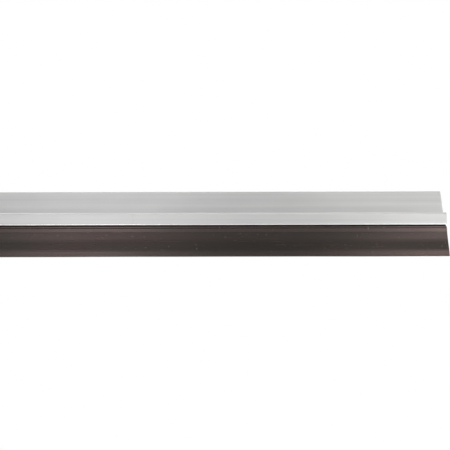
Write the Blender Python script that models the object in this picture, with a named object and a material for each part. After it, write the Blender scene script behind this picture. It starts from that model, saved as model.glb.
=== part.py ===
"""A face-mounted door sweep: an aluminium carrier with a T-slot along its lower edge, a rubber insert that slides
in the slot and hangs below it as a wiping blade, and a strip of foam tape that sticks the carrier to a door.

Every piece is one constant section that runs along X. Z is up the door and the front faces -Y. The origin is the
middle of the tape's back, so the door's face is the plane y = 0.

The carrier is one extrusion. It is modelled as its three flat walls, which fit edge to edge, so that each is simple
and the slot between them stays open. The insert is one extrusion too, parted where its blade begins to bend.

A section is a list of corners (out, down, radius): out from the carrier's back, down from its top edge, and the
radius that rounds the corner, all in metres.
"""

import math

import bmesh
import bpy
from mathutils import Matrix, Vector

LENGTH = 0.914  # a 36 in strip, cut square at both ends
GAP = 0.0003  # clearance between neighbouring pieces
SLIT = 0.00005  # between the three walls that make up the one-piece carrier

# Foam tape
TAPE_LENGTH = 0.910
TAPE_HEIGHT = 0.019
TAPE_THICKNESS = 0.0008
TAPE_DROP = 0.002  # from the carrier's top edge to the tape's

# Carrier: a flat flange, and along its lower edge a channel that stands proud of it
CARRIER_HEIGHT = 0.026
FLANGE_THICKNESS = 0.0015
FLANGE_HEIGHT = 0.0173  # what shows of the flange above the channel's shoulder
SHOULDER_DEPTH = 0.0074  # from the carrier's back to the channel's face, at its shoulder
LIP_DEPTH = 0.0051  # the same at its lip, because the face leans back towards the door
WALL = 0.0011
LIP_HEIGHT = 0.0012
HOOK = 0.0005  # how far each lip reaches in under the slot
EDGE_RADIUS = 0.0003
HOOK_RADIUS = 0.0002
SHOULDER_RADIUS = 0.0006
LIP_RADIUS = 0.0005

# Insert: a waisted head in the slot, a neck through the mouth, and a ribbed root below the lips
LEDGE_HEIGHT = 0.0017
WAIST_DEPTH = 0.0006
ROOT_BACK = 0.0017
RIB_OUT = 0.0048
SMALL_RIB_HEIGHT = 0.0006
GROOVE_HEIGHT = 0.0006
GROOVE_DEPTH = 0.0005
LARGE_RIB_HEIGHT = 0.0025
RUBBER_RADIUS = 0.0002

# Blade
BLADE_FRONT_TOP = 0.0042
BLADE_THICKNESS = 0.0018
BELLY_TOP = (0.00345, 0.0365)  # the blade's front leans back down to here, hangs nearly plumb,
BELLY_FOOT = (0.0030, 0.0438)  # and leans back again below here
BELLY_RADIUS = 0.020
TIP_OUT = 0.0025
TIP_THICKNESS = 0.0013
TIP_RADIUS = 0.0005
SWEEP_HEIGHT = 0.0473  # from the carrier's top edge to the blade's tip

ARC_STEP = math.radians(15)  # the most that one side of an arc turns
SHARP_ANGLE = math.radians(32)
WELD = 1e-6


def channel_face(down):
    """How far out the channel's leaning face is at one height."""
    share = (down - FLANGE_HEIGHT) / (CARRIER_HEIGHT - FLANGE_HEIGHT)
    return SHOULDER_DEPTH + (LIP_DEPTH - SHOULDER_DEPTH) * share


def slot_front(down):
    """How far out the slot's front wall is at one height."""
    return channel_face(down) - WALL


SLOT_TOP = FLANGE_HEIGHT + WALL
SLOT_FOOT = CARRIER_HEIGHT - LIP_HEIGHT
MOUTH_BACK = FLANGE_THICKNESS + HOOK
MOUTH_FRONT = slot_front(SLOT_FOOT) - HOOK

ROOT_TOP = CARRIER_HEIGHT + GAP
GROOVE_TOP = ROOT_TOP + SMALL_RIB_HEIGHT
LARGE_RIB_TOP = GROOVE_TOP + GROOVE_HEIGHT
ROOT_FOOT = LARGE_RIB_TOP + LARGE_RIB_HEIGHT

# The blade bends about the line that its rounded top edge is centred on.
HINGE_OUT = BLADE_FRONT_TOP - BLADE_THICKNESS / 2
HINGE_DOWN = ROOT_FOOT + GAP + BLADE_THICKNESS / 2


def clear_scene():
    for old in list(bpy.data.objects):
        bpy.data.objects.remove(old)


def new_collection(name):
    collection = bpy.data.collections.new(name)
    bpy.context.scene.collection.children.link(collection)
    return collection


def material(name, colour, roughness, metallic=0.0):
    made = bpy.data.materials.new(name)
    made.use_nodes = True
    shader = made.node_tree.nodes["Principled BSDF"]
    shader.inputs["Base Color"].default_value = (*colour, 1.0)
    shader.inputs["Roughness"].default_value = roughness
    shader.inputs["Metallic"].default_value = metallic
    return made


def place(out, down):
    """The world place, halfway along the strip, of a point in the section."""
    back = TAPE_THICKNESS + GAP
    top = TAPE_DROP + TAPE_HEIGHT / 2
    return Vector((0.0, -(back + out), top - down))


def rounded(corners):
    """The outline's points, where each corner that has a radius becomes an arc."""
    points = []
    for i, (out, down, radius) in enumerate(corners):
        corner = Vector((out, down))
        to_last = (Vector(corners[i - 1][:2]) - corner).normalized()
        to_next = (Vector(corners[(i + 1) % len(corners)][:2]) - corner).normalized()
        half = to_last.angle(to_next) / 2
        centre = corner + (to_last + to_next).normalized() * radius / math.sin(half)
        first = corner + to_last * radius / math.tan(half) - centre
        last = corner + to_next * radius / math.tan(half) - centre
        turn = math.pi - 2 * half
        steps = math.ceil(turn / ARC_STEP) if radius else 0
        arc = [corner] if not steps else [
            centre + (first * math.sin(turn * (1 - s / steps)) + last * math.sin(turn * s / steps)) / math.sin(turn)
            for s in range(steps + 1)
        ]
        points += [p for p in arc if not points or (p - points[-1]).length > WELD]
    return points


def extrusion(name, corners, length, origin, look, collection):
    """A section run along X as one mesh object, with its origin at a point (out, down) of the section."""
    outline = bpy.data.curves.new(name, "CURVE")
    outline.dimensions = "2D"
    outline.fill_mode = "BOTH"
    outline.extrude = length / 2
    points = rounded(corners)
    spline = outline.splines.new("POLY")
    spline.points.add(len(points) - 1)
    for point, (out, down) in zip(spline.points, points):
        point.co = (out - origin[0], origin[1] - down, 0.0, 1.0)
    spline.use_cyclic_u = True
    drawn = bpy.data.objects.new(name + "_outline", outline)
    drawn.location = place(*origin)
    drawn.rotation_euler = (math.pi / 2, 0.0, -math.pi / 2)  # the outline's x to world -Y, and its y to +Z
    bpy.context.scene.collection.objects.link(drawn)
    bpy.context.view_layer.update()

    mesh = bpy.data.meshes.new_from_object(drawn)
    solid = bmesh.new()
    solid.from_mesh(mesh)
    bmesh.ops.remove_doubles(solid, verts=solid.verts, dist=WELD)
    bmesh.ops.recalc_face_normals(solid, faces=solid.faces)
    solid.to_mesh(mesh)
    solid.free()
    mesh.shade_smooth()
    mesh.set_sharp_from_angle(angle=SHARP_ANGLE)
    mesh.materials.clear()
    mesh.materials.append(look)
    made = bpy.data.objects.new(name, mesh)
    made.matrix_world = drawn.matrix_world
    collection.objects.link(made)
    bpy.data.objects.remove(drawn)
    return made


def axis_empty(name, origin, collection):
    """An empty on a joint's axis, at a point (out, down) of the section."""
    empty = bpy.data.objects.new(name, None)
    empty.empty_display_size = 0.01
    empty.location = place(*origin)
    collection.objects.link(empty)
    return empty


def parent_in_place(child, parent):
    bpy.context.view_layer.update()
    world = child.matrix_world.copy()
    child.parent = parent
    child.matrix_parent_inverse = Matrix.Identity(4)
    child.matrix_world = world


def flange_corners():
    """The carrier's back wall: the flange, the slot's back, and the lip that hooks under the slot from behind."""
    return [
        (0.0, 0.0, EDGE_RADIUS),
        (0.0, CARRIER_HEIGHT, EDGE_RADIUS),
        (MOUTH_BACK, CARRIER_HEIGHT, EDGE_RADIUS),
        (MOUTH_BACK, SLOT_FOOT, HOOK_RADIUS),
        (FLANGE_THICKNESS, SLOT_FOOT, 0.0),
        (FLANGE_THICKNESS, 0.0, EDGE_RADIUS),
    ]


def roof_corners():
    """The channel's level roof, from the flange to the channel's face."""
    return [
        (FLANGE_THICKNESS + SLIT, FLANGE_HEIGHT, 0.0),
        (FLANGE_THICKNESS + SLIT, SLOT_TOP, 0.0),
        (slot_front(SLOT_TOP) - SLIT, SLOT_TOP, 0.0),
        (slot_front(FLANGE_HEIGHT) - SLIT, FLANGE_HEIGHT, 0.0),
    ]


def face_corners():
    """The channel's leaning face, with the lip that hooks under the slot from in front."""
    return [
        (slot_front(FLANGE_HEIGHT), FLANGE_HEIGHT, 0.0),
        (slot_front(SLOT_FOOT), SLOT_FOOT, 0.0),
        (MOUTH_FRONT, SLOT_FOOT, HOOK_RADIUS),
        (MOUTH_FRONT, CARRIER_HEIGHT, EDGE_RADIUS),
        (LIP_DEPTH, CARRIER_HEIGHT, LIP_RADIUS),
        (SHOULDER_DEPTH, FLANGE_HEIGHT, SHOULDER_RADIUS),
    ]


def head_side(edge, depth):
    """One side of the insert's head, from its top ledge down to its foot. depth points into the head."""
    top, foot = SLOT_TOP + GAP, SLOT_FOOT - GAP
    ledge, waist = top + LEDGE_HEIGHT, top + LEDGE_HEIGHT + WAIST_DEPTH
    lower_waist, lower_ledge = foot - LEDGE_HEIGHT - WAIST_DEPTH, foot - LEDGE_HEIGHT
    return [
        (edge(top), top, RUBBER_RADIUS),
        (edge(ledge), ledge, RUBBER_RADIUS),
        (edge(waist) + depth, waist, RUBBER_RADIUS),
        (edge(lower_waist) + depth, lower_waist, RUBBER_RADIUS),
        (edge(lower_ledge), lower_ledge, RUBBER_RADIUS),
        (edge(foot), foot, RUBBER_RADIUS),
    ]


def insert_corners():
    neck_back, neck_front = MOUTH_BACK + GAP, MOUTH_FRONT - GAP
    groove_out = RIB_OUT - GROOVE_DEPTH
    back = head_side(lambda down: FLANGE_THICKNESS + GAP, WAIST_DEPTH)
    front = head_side(lambda down: slot_front(down) - GAP, -WAIST_DEPTH)
    head_foot = back[-1][1]
    root = [
        (neck_back, head_foot, 0.0),
        (neck_back, ROOT_TOP, 0.0),
        (ROOT_BACK, ROOT_TOP, RUBBER_RADIUS),
        (ROOT_BACK, ROOT_FOOT, RUBBER_RADIUS),
        (RIB_OUT, ROOT_FOOT, RUBBER_RADIUS),
        (RIB_OUT, LARGE_RIB_TOP, RUBBER_RADIUS),
        (groove_out, LARGE_RIB_TOP, 0.0),
        (groove_out, GROOVE_TOP, 0.0),
        (RIB_OUT, GROOVE_TOP, RUBBER_RADIUS),
        (RIB_OUT, ROOT_TOP, RUBBER_RADIUS),
        (neck_front, ROOT_TOP, 0.0),
        (neck_front, head_foot, 0.0),
    ]
    return back + root + front[::-1]


def blade_corners():
    """The blade's top is half a circle about its hinge line, and its two faces run on from that circle."""
    half = BLADE_THICKNESS / 2
    hinge = Vector((HINGE_OUT, HINGE_DOWN))
    belly_thickness = (BLADE_THICKNESS + TIP_THICKNESS) / 2
    upper_middle = Vector(BELLY_TOP) - Vector((half, 0.0))
    along = (upper_middle - hinge).normalized()
    across = Vector((along.y, -along.x))
    top = hinge - along * half
    return [
        (*(top + across * half), half),
        (*(top - across * half), half),
        (BELLY_TOP[0] - BLADE_THICKNESS, BELLY_TOP[1], BELLY_RADIUS),
        (BELLY_FOOT[0] - belly_thickness, BELLY_FOOT[1], BELLY_RADIUS),
        (TIP_OUT - TIP_THICKNESS, SWEEP_HEIGHT, TIP_RADIUS),
        (TIP_OUT, SWEEP_HEIGHT, TIP_RADIUS),
        (*BELLY_FOOT, BELLY_RADIUS),
        (*BELLY_TOP, BELLY_RADIUS),
    ]


def tape_corners():
    back, front = -(TAPE_THICKNESS + GAP), -GAP
    top, foot = TAPE_DROP, TAPE_DROP + TAPE_HEIGHT
    return [(back, top, 0.0), (back, foot, 0.0), (front, foot, 0.0), (front, top, 0.0)]


def build():
    clear_scene()
    sweep = new_collection("door_sweep")
    aluminium = material("anodised_aluminium", (0.72, 0.73, 0.73), 0.38, metallic=1.0)
    rubber = material("dark_rubber", (0.045, 0.038, 0.035), 0.55)
    foam = material("foam_tape", (0.80, 0.79, 0.75), 0.85)

    slot_middle = ((FLANGE_THICKNESS + slot_front(SLOT_TOP)) / 2, (SLOT_TOP + SLOT_FOOT) / 2)
    hinge_line = (HINGE_OUT, HINGE_DOWN)

    flange = extrusion("carrier_flange", flange_corners(), LENGTH, (0.0, 0.0), aluminium, sweep)
    roof = extrusion("carrier_roof", roof_corners(), LENGTH, (FLANGE_THICKNESS, FLANGE_HEIGHT), aluminium, sweep)
    face = extrusion("carrier_face", face_corners(), LENGTH, (SHOULDER_DEPTH, FLANGE_HEIGHT), aluminium, sweep)
    tape = extrusion("mounting_tape", tape_corners(), TAPE_LENGTH, (0.0, TAPE_DROP), foam, sweep)
    insert = extrusion("insert_root", insert_corners(), LENGTH, slot_middle, rubber, sweep)
    blade = extrusion("blade", blade_corners(), LENGTH, hinge_line, rubber, sweep)
    slide_axis = axis_empty("insert_slide_axis", slot_middle, sweep)
    flex_axis = axis_empty("blade_flex_axis", hinge_line, sweep)

    for fixed in (roof, face, tape, slide_axis):
        parent_in_place(fixed, flange)
    parent_in_place(insert, slide_axis)
    parent_in_place(flex_axis, insert)
    parent_in_place(blade, flex_axis)


build()
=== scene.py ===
"""The looks of a face-mounted door sweep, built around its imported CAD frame.

The strip runs along X, its back is to the door at y = 0, and its front faces -Y. Every section below is a
list of corners (out, down, radius): out from the carrier's back, down from its top edge, with the radius that
rounds the corner, all in metres. The main heights come from the CAD nodes' boxes, and the named sizes are the
finer shapes.
"""

import math

import bmesh
import bpy
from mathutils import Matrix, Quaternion, Vector


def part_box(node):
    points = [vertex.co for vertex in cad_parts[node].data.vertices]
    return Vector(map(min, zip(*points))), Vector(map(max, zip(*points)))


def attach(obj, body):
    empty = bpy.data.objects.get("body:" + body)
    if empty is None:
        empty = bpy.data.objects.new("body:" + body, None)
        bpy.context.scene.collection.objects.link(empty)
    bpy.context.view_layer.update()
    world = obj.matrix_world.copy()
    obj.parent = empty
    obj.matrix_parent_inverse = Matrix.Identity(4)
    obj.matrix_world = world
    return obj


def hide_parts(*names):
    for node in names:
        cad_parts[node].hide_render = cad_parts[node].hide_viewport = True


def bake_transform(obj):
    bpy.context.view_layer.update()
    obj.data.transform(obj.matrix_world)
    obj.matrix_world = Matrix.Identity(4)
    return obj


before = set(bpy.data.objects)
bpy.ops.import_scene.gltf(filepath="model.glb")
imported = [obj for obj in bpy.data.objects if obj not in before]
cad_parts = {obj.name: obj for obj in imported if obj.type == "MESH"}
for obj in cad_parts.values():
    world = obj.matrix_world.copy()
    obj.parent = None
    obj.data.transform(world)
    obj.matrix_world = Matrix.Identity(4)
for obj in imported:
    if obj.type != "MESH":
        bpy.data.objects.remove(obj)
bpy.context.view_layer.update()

# ---------------------------------------------------------------- sizes from the frame
FLANGE_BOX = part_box("carrier_flange")
ROOF_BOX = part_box("carrier_roof")
ROOT_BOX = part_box("insert_root")
BLADE_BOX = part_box("blade")
TAPE_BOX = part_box("mounting_tape")

BACK = FLANGE_BOX[1].y
TOP = FLANGE_BOX[1].z
HALF_LENGTH = FLANGE_BOX[1].x
CARRIER_HEIGHT = TOP - FLANGE_BOX[0].z
SHOULDER_DOWN = TOP - ROOF_BOX[1].z
SLOT_TOP = TOP - ROOF_BOX[0].z
HEAD_TOP = TOP - ROOT_BOX[1].z
ROOT_FOOT = TOP - ROOT_BOX[0].z
TIP_DOWN = TOP - BLADE_BOX[0].z

# ---------------------------------------------------------------- the carrier's section
FLANGE_THICKNESS = 0.0015
SHOULDER_OUT = 0.0077
LIP_OUT = 0.0051
WALL = 0.0011
LIP_HEIGHT = 0.0012
SLOT_FOOT = CARRIER_HEIGHT - LIP_HEIGHT
HOOK = 0.0005  # how far each lip reaches in under the slot
EDGE_RADIUS = 0.00025
FILLET = 0.0003
SHOULDER_RADIUS = 0.00155
LIP_RADIUS = 0.00025
HOOK_RADIUS = 0.00018
BEAD_HEIGHT = 0.0008  # the thicker edge along the channel's lip
BEAD_DEPTH = 0.00014
BEAD_TURN = 0.00006  # the bead leans in less than the face above it, by this at its foot
LIP_SHORT = 0.00012  # the front lip stops this far above the back one
LIP_FOOT = CARRIER_HEIGHT - LIP_SHORT
LIP_FLAT_OUT = 0.0045  # behind here the lip's underside rises into the mouth of the slot
LIP_RISE = 0.0005

# ---------------------------------------------------------------- the rubber's section
FIT = 0.0003  # between the insert and the carrier's slot
LEDGE_HEIGHT = 0.0017
WAIST_DEPTH = 0.0006
ROOT_BACK = 0.0017
NECK_STEP_OUT = 0.0037
RIB_OUT = 0.0048
RIB_LEAN = 0.00052  # how much further in the large rib is at its foot
SMALL_RIB_LEAN = RIB_LEAN / 3
RIB_DROP = 0.0009  # from the carrier's foot to the small rib
SMALL_RIB_HEIGHT = 0.0008
GROOVE_HEIGHT = 0.00055  # of the groove between the ribs
GROOVE_DEPTH = 0.0002
LARGE_RIB_HEIGHT = 0.00245
FINE_GROOVE_HEIGHT = 0.00004  # of the line between the large rib and the blade
FINE_GROOVE_OUT = 0.00414
RUBBER_RADIUS = 0.00015
SMALL_RIB_RADIUS = 0.00006
GROOVE_RADIUS = 0.00002
SMALL_RIB_TOP = CARRIER_HEIGHT + RIB_DROP
SMALL_RIB_FOOT = SMALL_RIB_TOP + SMALL_RIB_HEIGHT
LARGE_RIB_TOP = SMALL_RIB_FOOT + GROOVE_HEIGHT
LARGE_RIB_FOOT = LARGE_RIB_TOP + LARGE_RIB_HEIGHT
BLADE_TOP = LARGE_RIB_FOOT + FINE_GROOVE_HEIGHT
BLADE_OUT = 0.00420
BLADE_THICKNESS = 0.0018
BELLY_TOP = (0.00353, 0.0365)  # the blade's front leans back down to here, hangs nearly plumb,
BELLY_FOOT = (0.00308, 0.0434)  # and leans back again below here
BELLY_RADIUS = 0.040
BELLY_FOOT_RADIUS = 0.024
TIP_OUT = 0.00258
TIP_THICKNESS = 0.0013
TIP_RADIUS = 0.00045
BEND_STEP = 0.0006  # the most between two points down the blade

TAPE_RADIUS = 0.0001  # of the tape's two long edges at the door

# ---------------------------------------------------------------- how finely the meshes are made
ARC_STEP = math.radians(11)  # the most that one step of an arc turns
FLAT_HOLD = 0.00003  # a point this far beyond each arc keeps the flat beside it flat
SHARP_ANGLE = math.radians(35)
END_CHAMFER = 0.00012
STATION_GAP = 0.008  # the most between two cross-sections

# ---------------------------------------------------------------- waves and marks along the strip
# The blade's free edge wanders in and out along the strip: wavelength, reach and phase of each wave.
BLADE_WAVES = ((0.237, 0.00012, 0.6), (0.121, 0.00008, 2.1), (0.067, 0.00004, 4.4))
WAVE_GROWTH = 1.5  # the waves grow down the blade as this power of the way to its tip
BLADE_CUT_LEAN = 0.0003  # the knife cut at the right-hand end leans out this far at the tip

# Handling marks on the channel's face: place along X, down, half width, half height, depth
DENTS = (
    (0.2442, 0.0210, 0.00035, 0.0035, 0.00011),
    (0.3363, 0.0244, 0.0008, 0.0008, 0.00008),
    (-0.1180, 0.0226, 0.0006, 0.0012, 0.00005),
    (-0.3670, 0.0238, 0.0005, 0.0025, 0.00005),
)
DENT_STEPS = 4  # extra cross-sections on each side of a mark's middle, spaced by half its half width


# ---------------------------------------------------------------- outlines
def channel_out(down):
    """How far out the channel's leaning face is at one height."""
    share = (down - SHOULDER_DOWN) / (CARRIER_HEIGHT - SHOULDER_DOWN)
    return SHOULDER_OUT + (LIP_OUT - SHOULDER_OUT) * share


def slot_out(down):
    """How far out the slot's front wall is at one height."""
    return channel_out(down) - WALL


MOUTH_BACK = FLANGE_THICKNESS + HOOK
MOUTH_FRONT = slot_out(SLOT_FOOT) - HOOK


def arc(corner, to_last, to_next, radius):
    """The points of the arc that rounds one corner, with a point just before it and just after it."""
    half = to_last.angle(to_next) / 2
    reach = radius / math.tan(half)
    centre = corner + (to_last + to_next).normalized() * radius / math.sin(half)
    first = corner + to_last * reach - centre
    last = corner + to_next * reach - centre
    turn = math.pi - 2 * half
    steps = math.ceil(turn / ARC_STEP)
    points = [corner + to_last * (reach + FLAT_HOLD)]
    for step in range(steps + 1):
        first_part = math.sin(turn * (1 - step / steps))
        last_part = math.sin(turn * step / steps)
        points.append(centre + (first * first_part + last * last_part) / math.sin(turn))
    points.append(corner + to_next * (reach + FLAT_HOLD))
    return points


def rounded(corners):
    """The outline's points, in order."""
    points = []
    for i, (out, down, radius) in enumerate(corners):
        corner = Vector((out, down))
        to_last = (Vector(corners[i - 1][:2]) - corner).normalized()
        to_next = (Vector(corners[(i + 1) % len(corners)][:2]) - corner).normalized()
        points += arc(corner, to_last, to_next, radius) if radius else [corner]
    return points


def inset(points, distance):
    """The outline moved inwards by a small distance."""
    area = sum(a.cross(b) for a, b in zip(points, points[1:] + points[:1]))
    side = 1 if area > 0 else -1
    moved = []
    for i, point in enumerate(points):
        before = (point - points[i - 1]).normalized()
        after = (points[(i + 1) % len(points)] - point).normalized()
        along = (before + after).normalized()
        moved.append(point + Vector((-along.y, along.x)) * side * distance)
    return moved


def divided(points):
    """The rubber's outline with extra points from its large rib down, which let it bend in a smooth curve."""
    found = []
    for i, point in enumerate(points):
        last = points[i - 1]
        if min(point.y, last.y) > LARGE_RIB_TOP:
            count = math.ceil((point - last).length / BEND_STEP)
            found += [last.lerp(point, step / count) for step in range(1, count)]
        found.append(point)
    return found


def carrier_outline():
    """The flange, and the channel with the T-slot inside it."""
    bead_top = LIP_FOOT - BEAD_HEIGHT
    return rounded([
        (0.0, 0.0, EDGE_RADIUS),
        (FLANGE_THICKNESS, 0.0, EDGE_RADIUS),
        (FLANGE_THICKNESS, SHOULDER_DOWN, FILLET),
        (SHOULDER_OUT, SHOULDER_DOWN, SHOULDER_RADIUS),
        (channel_out(bead_top), bead_top, 0.0),
        (channel_out(bead_top) + BEAD_DEPTH, bead_top + BEAD_DEPTH, 0.0),
        (channel_out(LIP_FOOT) + BEAD_DEPTH + BEAD_TURN, LIP_FOOT, LIP_RADIUS),
        (LIP_FLAT_OUT, LIP_FOOT, 0.0),
        (MOUTH_FRONT, LIP_FOOT - LIP_RISE, HOOK_RADIUS),
        (MOUTH_FRONT, SLOT_FOOT, HOOK_RADIUS),
        (slot_out(SLOT_FOOT), SLOT_FOOT, HOOK_RADIUS),
        (slot_out(SLOT_TOP), SLOT_TOP, FILLET),
        (FLANGE_THICKNESS, SLOT_TOP, FILLET),
        (FLANGE_THICKNESS, SLOT_FOOT, HOOK_RADIUS),
        (MOUTH_BACK, SLOT_FOOT, HOOK_RADIUS),
        (MOUTH_BACK, CARRIER_HEIGHT, HOOK_RADIUS),
        (0.0, CARRIER_HEIGHT, EDGE_RADIUS),
    ])


def head_side(edge, depth):
    """One side of the insert's head, from its top ledge down to its foot. edge(down) is how far out that side
    is, and depth points into the head."""
    foot = SLOT_FOOT - FIT
    ledge = HEAD_TOP + LEDGE_HEIGHT
    lower_ledge = foot - LEDGE_HEIGHT
    waist, lower_waist = ledge + WAIST_DEPTH, lower_ledge - WAIST_DEPTH
    return [
        (edge(HEAD_TOP), HEAD_TOP, RUBBER_RADIUS),
        (edge(ledge), ledge, RUBBER_RADIUS),
        (edge(waist) + depth, waist, RUBBER_RADIUS),
        (edge(lower_waist) + depth, lower_waist, RUBBER_RADIUS),
        (edge(lower_ledge), lower_ledge, RUBBER_RADIUS),
        (edge(foot), foot, RUBBER_RADIUS),
    ]


def blade_corners():
    """The blade, from its back down round its tip and up its front to the fine groove above it."""
    belly_thickness = (BLADE_THICKNESS + TIP_THICKNESS) / 2
    return [
        (BLADE_OUT - BLADE_THICKNESS, BLADE_TOP, RUBBER_RADIUS),
        (BELLY_TOP[0] - BLADE_THICKNESS, BELLY_TOP[1], BELLY_RADIUS),
        (BELLY_FOOT[0] - belly_thickness, BELLY_FOOT[1], BELLY_RADIUS),
        (TIP_OUT - TIP_THICKNESS, TIP_DOWN, TIP_RADIUS),
        (TIP_OUT, TIP_DOWN, TIP_RADIUS),
        (*BELLY_FOOT, BELLY_FOOT_RADIUS),
        (*BELLY_TOP, BELLY_RADIUS),
        (BLADE_OUT, BLADE_TOP, GROOVE_RADIUS),
        (FINE_GROOVE_OUT, BLADE_TOP, 0.0),
        (FINE_GROOVE_OUT, LARGE_RIB_FOOT, 0.0),
    ]


def rib_corners():
    """The two ribs, from the large one's foot up to the top of the small one."""
    groove_out = RIB_OUT - GROOVE_DEPTH
    return [
        (RIB_OUT - RIB_LEAN, LARGE_RIB_FOOT, GROOVE_RADIUS),
        (RIB_OUT, LARGE_RIB_TOP, RUBBER_RADIUS),
        (groove_out, LARGE_RIB_TOP, 0.0),
        (groove_out, SMALL_RIB_FOOT, 0.0),
        (RIB_OUT - SMALL_RIB_LEAN, SMALL_RIB_FOOT, SMALL_RIB_RADIUS),
        (RIB_OUT, SMALL_RIB_TOP, RUBBER_RADIUS),
        (NECK_STEP_OUT, SMALL_RIB_TOP, 0.0),
    ]


def rubber_outline():
    """Head, neck, ribs and blade as the one extrusion they are."""
    root_top = CARRIER_HEIGHT + FIT
    head_foot = SLOT_FOOT - FIT
    head_back = head_side(lambda down: FLANGE_THICKNESS + FIT, WAIST_DEPTH)
    head_front = head_side(lambda down: slot_out(down) - FIT, -WAIST_DEPTH)
    root_back = [
        (MOUTH_BACK + FIT, head_foot, 0.0),
        (MOUTH_BACK + FIT, root_top, 0.0),
        (ROOT_BACK, root_top, RUBBER_RADIUS),
        (ROOT_BACK, ROOT_FOOT, RUBBER_RADIUS),
    ]
    neck_front = [
        (NECK_STEP_OUT, root_top, RUBBER_RADIUS),
        (MOUTH_FRONT - FIT, root_top, 0.0),
        (MOUTH_FRONT - FIT, head_foot, 0.0),
    ]
    corners = head_back + root_back + blade_corners() + rib_corners() + neck_front + head_front[::-1]
    return divided(rounded(corners))


def tape_outline():
    """The tape, measured out from the door's face and down from its own top edge. It is pressed flat on the
    carrier's back, and its two edges at the door are softened."""
    low, high = TAPE_BOX
    height = high.z - low.z
    return rounded([
        (-high.y, 0.0, TAPE_RADIUS),
        (-high.y, height, TAPE_RADIUS),
        (-BACK, height, 0.0),
        (-BACK, 0.0, 0.0),
    ])


# ---------------------------------------------------------------- meshes
def stations(half_length, marks=()):
    """The places along X of a strip's cross-sections: two close together at each end for the cut's edge, and
    a few more round each mark."""
    reach = half_length - END_CHAMFER
    count = math.ceil(2 * reach / STATION_GAP)
    places = [reach * (2 * i / count - 1) for i in range(count + 1)]
    for x, _, half_width, _, _ in marks:
        places += [x + half_width * i / 2 for i in range(-DENT_STEPS, DENT_STEPS + 1)]
    return [-half_length] + sorted(places) + [half_length]


def dented(x, out, down):
    """A point of the carrier's section, pushed in where a mark is."""
    if out < channel_out(down) - WALL / 2:
        return x, out, down
    for place, height, half_width, half_height, depth in DENTS:
        away = ((x - place) / half_width) ** 2 + ((down - height) / half_height) ** 2
        out -= depth * math.exp(-away)
    return x, out, down


def wavy(x, out, down):
    """A point of the rubber's section, where the free blade wanders and its right-hand cut leans."""
    share = max(0.0, (down - LARGE_RIB_FOOT) / (TIP_DOWN - LARGE_RIB_FOOT))
    sway = sum(reach * math.sin(math.tau * x / length + phase) for length, reach, phase in BLADE_WAVES)
    lean = BLADE_CUT_LEAN * share if x > HALF_LENGTH - 2 * END_CHAMFER else 0.0
    return x + lean, out + sway * share ** WAVE_GROWTH, down


def unmoved(x, out, down):
    """A point of a section that is the same all along its strip."""
    return x, out, down


def cross_section(solid, x, outline, origin, shift):
    """One ring of vertices round the strip, each where shift(x, out, down) puts it."""
    back, top = origin
    ring = []
    for point in outline:
        along, out, down = shift(x, *point)
        ring.append(solid.verts.new((along, back - out, top - down)))
    return ring


def strip_mesh(name, outline, places, origin, shift=unmoved):
    """An outline run along X as one closed mesh, whose cut ends take the second material."""
    small = inset(outline, END_CHAMFER)
    ends = (places[0], places[-1])
    solid = bmesh.new()
    rings = [cross_section(solid, x, small if x in ends else outline, origin, shift) for x in places]
    for near, far in zip(rings, rings[1:]):
        for i in range(len(outline)):
            solid.faces.new((near[i - 1], near[i], far[i], far[i - 1]))
    for ring in (rings[0], rings[-1]):
        cap = solid.faces.new(ring)
        cap.material_index = 1
    bmesh.ops.recalc_face_normals(solid, faces=solid.faces)
    mesh = bpy.data.meshes.new(name)
    solid.to_mesh(mesh)
    solid.free()
    mesh.shade_smooth()
    mesh.set_sharp_from_angle(angle=SHARP_ANGLE)
    made = bpy.data.objects.new(name, mesh)
    bpy.context.scene.collection.objects.link(made)
    return made


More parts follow.
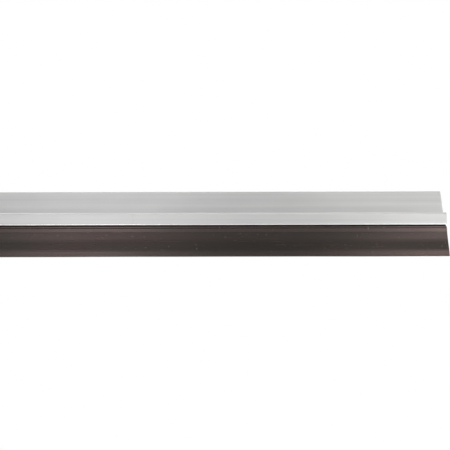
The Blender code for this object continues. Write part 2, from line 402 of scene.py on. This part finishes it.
# ---------------------------------------------------------------- node helpers
class Nodes:
    """A node tree, with short ways to add to it. place is the coordinate that its textures use."""

    def __init__(self, tree, coordinate):
        self.tree = tree
        self.place = self.add("ShaderNodeTexCoord").outputs[coordinate]

    def add(self, kind, **settings):
        node = self.tree.nodes.new(kind)
        for key, value in settings.items():
            setattr(node, key, value)
        return node

    def link(self, source, target):
        self.tree.links.new(source, target)

    def noise(self, scale, detail=3.0, roughness=0.5):
        """Noise that can run along the strip, with its own scale on each axis, in cells to the metre."""
        stretch = self.add("ShaderNodeMapping")
        stretch.inputs["Scale"].default_value = scale
        self.link(self.place, stretch.inputs["Vector"])
        node = self.add("ShaderNodeTexNoise")
        node.inputs["Scale"].default_value = 1.0
        node.inputs["Detail"].default_value = detail
        node.inputs["Roughness"].default_value = roughness
        self.link(stretch.outputs[0], node.inputs["Vector"])
        return node.outputs["Fac"]

    def spread(self, value, low, high, start=0.0, end=1.0, smooth=False):
        """value, taken from start..end to low..high and held at those ends."""
        node = self.add("ShaderNodeMapRange", interpolation_type="SMOOTHSTEP" if smooth else "LINEAR")
        for key, number in zip(("From Min", "From Max", "To Min", "To Max"), (start, end, low, high)):
            node.inputs[key].default_value = number
        self.link(value, node.inputs["Value"])
        return node.outputs[0]

    def combine(self, operation, first, second=0.0, kind="ShaderNodeMath"):
        """Two values, each a number or a socket, put together by a math node."""
        node = self.add(kind, operation=operation)
        for socket, value in zip(node.inputs, (first, second)):
            if isinstance(value, (float, tuple)):
                socket.default_value = value
            else:
                self.link(value, socket)
        return node.outputs[0]

    def vector(self, operation, first, second):
        return self.combine(operation, first, second, "ShaderNodeVectorMath")

    def total(self, *values):
        found = values[0]
        for value in values[1:]:
            found = self.combine("ADD", found, value)
        return found

    def product(self, *values):
        found = values[0]
        for value in values[1:]:
            found = self.combine("MULTIPLY", found, value)
        return found

    def mix(self, factor, first, second):
        """A colour between two, each a colour or a socket."""
        node = self.add("ShaderNodeMix", data_type="RGBA")
        self.link(factor, node.inputs["Factor"])
        for key, colour in (("A", first), ("B", second)):
            socket = next(s for s in node.inputs if s.name == key and s.type == "RGBA")
            if isinstance(colour, tuple):
                socket.default_value = (*colour, 1.0)
            else:
                self.link(colour, socket)
        return next(s for s in node.outputs if s.type == "RGBA")

    def bump(self, height, depth, normal=None):
        """The normal of a surface whose relief is height times depth, on top of another relief's normal."""
        node = self.add("ShaderNodeBump")
        node.inputs["Distance"].default_value = depth
        self.link(height, node.inputs["Height"])
        if normal:
            self.link(normal, node.inputs["Normal"])
        return node.outputs[0]


class Surface(Nodes):
    """A new material's nodes, feeding its Principled shader."""

    def __init__(self, name):
        self.material = bpy.data.materials.new(name)
        self.material.use_nodes = True
        super().__init__(self.material.node_tree, "Object")
        self.shader = self.tree.nodes["Principled BSDF"]

    def feed(self, **sockets):
        """Links or sets the shader's inputs, named with _ for a space."""
        for key, value in sockets.items():
            socket = self.shader.inputs[key.replace("_", " ")]
            if isinstance(value, bpy.types.NodeSocket):
                self.link(value, socket)
            else:
                socket.default_value = value

    def height(self):
        """How high on the object each point is."""
        axes = self.add("ShaderNodeSeparateXYZ")
        self.link(self.place, axes.inputs[0])
        return axes.outputs["Z"]

    def near_height(self, height, reach):
        """1 close to one height, and 0 at reach from it and beyond."""
        away = self.combine("ABSOLUTE", self.combine("SUBTRACT", self.height(), height))
        return self.spread(away, 1.0, 0.0, start=reach / 2, end=reach)

    def grain_round_x(self):
        """Lets the gloss stretch round the strip, across its lengthwise grain."""
        node = self.add("ShaderNodeTangent", direction_type="RADIAL", axis="X")
        self.link(node.outputs[0], self.shader.inputs["Tangent"])


# ---------------------------------------------------------------- materials
# Each pair of tones is the two that a material varies between.
ALUMINIUM_TONES = ((0.562, 0.562, 0.567), (0.642, 0.642, 0.641))
# painted highlight: the shoulder's paler colour stands in for the glint of light on its rounded edge
SHOULDER_HIGHLIGHT_COLOUR = (0.90, 0.90, 0.90)
# painted highlight: the lip's paler colour stands in for the glint of light on its rounded lower edge
LIP_HIGHLIGHT_COLOUR = (0.90, 0.895, 0.885)
EDGE_WEAR_AND_HIGHLIGHT = 0.0006  # how far from the channel's two edges its surface is rubbed smoother and painted paler as a highlight
SHOULDER_HIGHLIGHT_SHARE = 0.4  # how far the shoulder goes towards its painted highlight colour
SHOULDER_SHINE = 0.12  # how much smoother than the rest the rubbed shoulder is
LIP_SHINE = 0.17  # how much smoother the rubbed lip is
SAWN_TONES = ((0.70, 0.70, 0.69), (0.88, 0.88, 0.87))
RUBBER_TONES = ((0.004, 0.014, 0.0095), (0.0105, 0.010, 0.0085))
RUBBER_GLOSS = (1.0, 0.72, 0.705)  # the warm tint of the rubber's gloss
DUST_COLOUR = (0.30, 0.28, 0.26)
CUT_RUBBER_TONES = ((0.016, 0.015, 0.014), (0.035, 0.031, 0.029))
FOAM_TONES = ((0.70, 0.69, 0.65), (0.86, 0.85, 0.82))
FOAM_CELLS = 2600.0  # to the metre


def anodised_aluminium():
    """Satin anodised extrusion, with faint die lines along it, edges rubbed shinier, and painted highlights
    along the shoulder and the lip.
    """
    look = Surface("anodised_aluminium")
    lines = look.noise((5.0, 1500.0, 1500.0), detail=2.0, roughness=0.6)
    bands = look.noise((2.0, 320.0, 320.0), detail=2.0)
    clouds = look.noise((22.0, 60.0, 60.0))
    etch = look.noise((9000.0, 9000.0, 9000.0), detail=2.0)
    streaks = look.total(look.spread(lines, -0.6, 0.6), look.spread(bands, -1.0, 1.0))
    tone = look.total(streaks, look.spread(clouds, -0.1, 1.1))
    satin = look.total(look.spread(bands, -0.04, 0.04), look.spread(clouds, 0.39, 0.47))
    shoulder = look.near_height(TOP - SHOULDER_DOWN, EDGE_WEAR_AND_HIGHLIGHT)
    lip = look.near_height(TOP - LIP_FOOT, EDGE_WEAR_AND_HIGHLIGHT)
    skin = look.mix(tone, *ALUMINIUM_TONES)
    # a painted highlight: the shoulder's edge made paler
    skin = look.mix(look.product(shoulder, SHOULDER_HIGHLIGHT_SHARE), skin, SHOULDER_HIGHLIGHT_COLOUR)
    look.feed(
        # a painted highlight: the lip made paler
        Base_Color=look.mix(lip, skin, LIP_HIGHLIGHT_COLOUR),
        Roughness=look.total(satin, look.product(shoulder, -SHOULDER_SHINE), look.product(lip, -LIP_SHINE)),
        Metallic=1.0,
        Anisotropic=0.75,
        Normal=look.bump(lines, depth=4e-6, normal=look.bump(etch, depth=1e-6)),
    )
    look.grain_round_x()
    return look.material


def sawn_aluminium():
    """The bare metal of a sawn end, with the saw's marks."""
    look = Surface("sawn_aluminium")
    marks = look.noise((50.0, 60.0, 5200.0), roughness=0.6)
    look.feed(
        Base_Color=look.mix(marks, *SAWN_TONES),
        Roughness=look.spread(marks, 0.3, 0.5),
        Metallic=1.0,
        Normal=look.bump(marks, depth=2e-5),
    )
    return look.material


def dark_rubber():
    """Extruded black-brown rubber, faintly streaked along its length, with specks of dust."""
    look = Surface("dark_rubber")
    lines = look.noise((6.0, 1300.0, 1300.0), detail=2.0)
    clouds = look.noise((18.0, 70.0, 70.0))
    grain = look.noise((5200.0, 5200.0, 5200.0), detail=2.0)
    dust = look.noise((1500.0, 1500.0, 1500.0), detail=1.0)
    speck = look.spread(dust, 0.0, 1.0, start=0.76, end=0.80)
    blotch = look.spread(clouds, 0.0, 1.0, start=0.3, end=0.7)
    look.feed(
        Base_Color=look.mix(speck, look.mix(blotch, *RUBBER_TONES), DUST_COLOUR),
        Roughness=look.total(look.spread(lines, -0.05, 0.05), look.spread(blotch, 0.22, 0.28)),
        Specular_IOR_Level=0.81,
        Specular_Tint=(*RUBBER_GLOSS, 1.0),
        Normal=look.bump(lines, depth=5e-6, normal=look.bump(grain, depth=1e-6)),
    )
    return look.material


def cut_rubber():
    """The knife-cut end of the rubber, duller than its skin."""
    look = Surface("cut_rubber")
    grain = look.noise((2500.0, 2500.0, 2500.0), detail=4.0, roughness=0.6)
    look.feed(
        Base_Color=look.mix(grain, *CUT_RUBBER_TONES),
        Roughness=look.spread(grain, 0.6, 0.8),
        Normal=look.bump(grain, depth=3e-5),
    )
    return look.material


def foam_tape():
    """Closed-cell foam with a skin of adhesive."""
    look = Surface("foam_tape")
    cells = look.add("ShaderNodeTexVoronoi")
    cells.inputs["Scale"].default_value = FOAM_CELLS
    look.link(look.place, cells.inputs["Vector"])
    clouds = look.noise((40.0, 120.0, 120.0), detail=4.0, roughness=0.6)
    pores = look.spread(cells.outputs["Distance"], 0.0, 1.0, start=0.1, end=0.6)
    tone = look.total(look.spread(pores, 0.0, 0.4), look.spread(clouds, 0.1, 0.7))
    look.feed(
        Base_Color=look.mix(tone, *FOAM_TONES),
        Roughness=look.spread(clouds, 0.6, 0.85),
        Normal=look.bump(pores, depth=3e-5),
    )
    return look.material


# ---------------------------------------------------------------- pieces
def put_materials(piece, *materials):
    for material in materials:
        piece.data.materials.append(material)


def build_carrier():
    """The aluminium extrusion, with its handling marks and sawn ends."""
    piece = strip_mesh("carrier", carrier_outline(), stations(HALF_LENGTH, DENTS), (BACK, TOP), dented)
    put_materials(piece, anodised_aluminium(), sawn_aluminium())
    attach(piece, "carrier")
    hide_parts("carrier_flange", "carrier_roof", "carrier_face")


def build_rubber():
    """The rubber extrusion."""
    piece = strip_mesh("rubber_insert", rubber_outline(), stations(HALF_LENGTH), (BACK, TOP), wavy)
    put_materials(piece, dark_rubber(), cut_rubber())
    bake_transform(piece)
    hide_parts("insert_root", "blade")


def build_tape():
    """The foam tape on the carrier's back."""
    _, high = TAPE_BOX
    piece = strip_mesh("mounting_tape_foam", tape_outline(), stations(high.x), (0.0, high.z))
    foam = foam_tape()
    put_materials(piece, foam, foam)
    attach(piece, "carrier")
    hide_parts("mounting_tape")


# ---------------------------------------------------------------- stage, light and camera
LENS = 46.16  # millimetres, as the sensor's width is
SENSOR_WIDTH = 36.0
CAMERA_TARGET = Vector((0.3068, -0.0040, -0.01365))
CAMERA_DISTANCE = 0.3931
CAMERA_ELEVATION = math.radians(-19.39)
CAMERA_ROLL = math.radians(-0.127)
NEAREST_SEEN = 0.01
FARTHEST_SEEN = 50.0

FLOOR_COLOUR = (0.86, 0.86, 0.85)
FLOOR_GLOW = 0.4  # keeps the floor as pale as the room around it
FLOOR_DROP = 0.26  # below the blade's tip
FLOOR_RADIUS = 5.0
FLOOR_SIDES = 96
FLOOR_FADE = (1.2, 3.6)  # the floor fades out between these distances from its middle

# The surround, as radiance. Each patch has its left, right, lowest and highest directions and what it adds.
LIGHT_LEVEL = 0.82
ROOM_LIGHT = (0.555, 0.555, 0.55)
PATCH_EDGE = 6.0  # the degrees over which a patch's sides fade
PATCHES = (
    ((-18.0, -8.0, -15.0, 3.5), (5.2, 5.04, 5.08)),  # a soft box on the left
    ((17.0, 29.0, -15.0, 4.0), (6.3, 6.3, 6.07)),  # another on the right
    ((-18.0, -5.0, 12.0, 15.0), (3.0, 2.9, 3.0)),  # a narrow strip above the left one
    ((13.0, 29.0, 15.0, 24.0), (1.5, 1.5, 1.45)),  # a dimmer panel above the right one
    ((-26.0, 22.0, 36.0, 71.0), (2.2, 2.2, 2.2)),  # a wide soft box high up
    ((-24.0, 50.0, 9.0, 61.0), (-0.46, -0.46, -0.46)),  # a darker part of the room
)


def build_floor():
    """A plain pale floor well below the strip, fading out at its rim."""
    mesh = bpy.data.meshes.new("floor")
    disc = bmesh.new()
    bmesh.ops.create_circle(disc, cap_ends=True, segments=FLOOR_SIDES, radius=FLOOR_RADIUS)
    disc.to_mesh(mesh)
    disc.free()
    floor = bpy.data.objects.new("floor", mesh)
    floor.location.z = BLADE_BOX[0].z - FLOOR_DROP
    bpy.context.scene.collection.objects.link(floor)
    look = Surface("floor")
    distance = look.add("ShaderNodeVectorMath", operation="LENGTH")
    look.link(look.place, distance.inputs[0])
    start, end = FLOOR_FADE
    look.feed(
        Base_Color=(*FLOOR_COLOUR, 1.0),
        Roughness=0.9,
        Specular_IOR_Level=0.1,
        Emission_Color=(1.0, 1.0, 1.0, 1.0),
        Emission_Strength=FLOOR_GLOW,
        Alpha=look.spread(distance.outputs["Value"], 1.0, 0.0, start=start, end=end, smooth=True),
    )
    mesh.materials.append(look.material)


def soft_patch(room, axes, box):
    """1 inside a patch of the surround and 0 outside it, with soft sides. box has its left, right, lowest and
    highest directions, in degrees from straight in front of the strip. The patch is behind the strip too."""
    edge = math.sin(math.radians(PATCH_EDGE)) / 2
    left, right, low, high = (math.sin(math.radians(angle)) for angle in box)
    sides = []
    for axis, start, end in ((axes["X"], left, right), (axes["Z"], low, high)):
        sides.append(room.spread(axis, 0.0, 1.0, start=start - edge, end=start + edge, smooth=True))
        sides.append(room.spread(axis, 1.0, 0.0, start=end - edge, end=end + edge, smooth=True))
    return room.product(*sides)


def build_world():
    """A plain pale studio: an even room with soft boxes in it. The camera sees it as white."""
    world = bpy.data.worlds.new("studio")
    world.use_nodes = True
    bpy.context.scene.world = world
    world.node_tree.nodes.clear()
    room = Nodes(world.node_tree, "Generated")
    axes = room.add("ShaderNodeSeparateXYZ")
    room.link(room.place, axes.inputs[0])
    colour = ROOM_LIGHT
    for box, extra in PATCHES:
        patch = room.vector("MULTIPLY", soft_patch(room, axes.outputs, box), extra)
        colour = room.vector("ADD", patch, colour)
    light = room.add("ShaderNodeBackground")
    light.inputs["Strength"].default_value = LIGHT_LEVEL
    room.link(colour, light.inputs["Color"])
    shown = room.add("ShaderNodeBackground")
    shown.inputs["Color"].default_value = (1.0, 1.0, 1.0, 1.0)
    either = room.add("ShaderNodeMixShader")
    room.link(room.add("ShaderNodeLightPath").outputs["Is Camera Ray"], either.inputs[0])
    room.link(light.outputs[0], either.inputs[1])
    room.link(shown.outputs[0], either.inputs[2])
    room.link(either.outputs[0], room.add("ShaderNodeOutputWorld").inputs[0])


def build_camera():
    """A camera in front of the strip, towards its right-hand end, that looks up at it from a little below."""
    data = bpy.data.cameras.new("camera")
    data.lens = LENS
    data.sensor_width = SENSOR_WIDTH
    data.clip_start = NEAREST_SEEN
    data.clip_end = FARTHEST_SEEN
    camera = bpy.data.objects.new("camera", data)
    back = Vector((0.0, -math.cos(CAMERA_ELEVATION), math.sin(CAMERA_ELEVATION)))
    camera.location = CAMERA_TARGET + back * CAMERA_DISTANCE
    camera.rotation_mode = "QUATERNION"
    turn = (-back).to_track_quat("-Z", "Y")
    camera.rotation_quaternion = turn @ Quaternion((0.0, 0.0, 1.0), CAMERA_ROLL)
    bpy.context.scene.collection.objects.link(camera)
    bpy.context.scene.camera = camera
    bpy.context.scene.view_settings.view_transform = "Standard"


build_carrier()
build_rubber()
build_tape()
build_floor()
build_world()
build_camera()
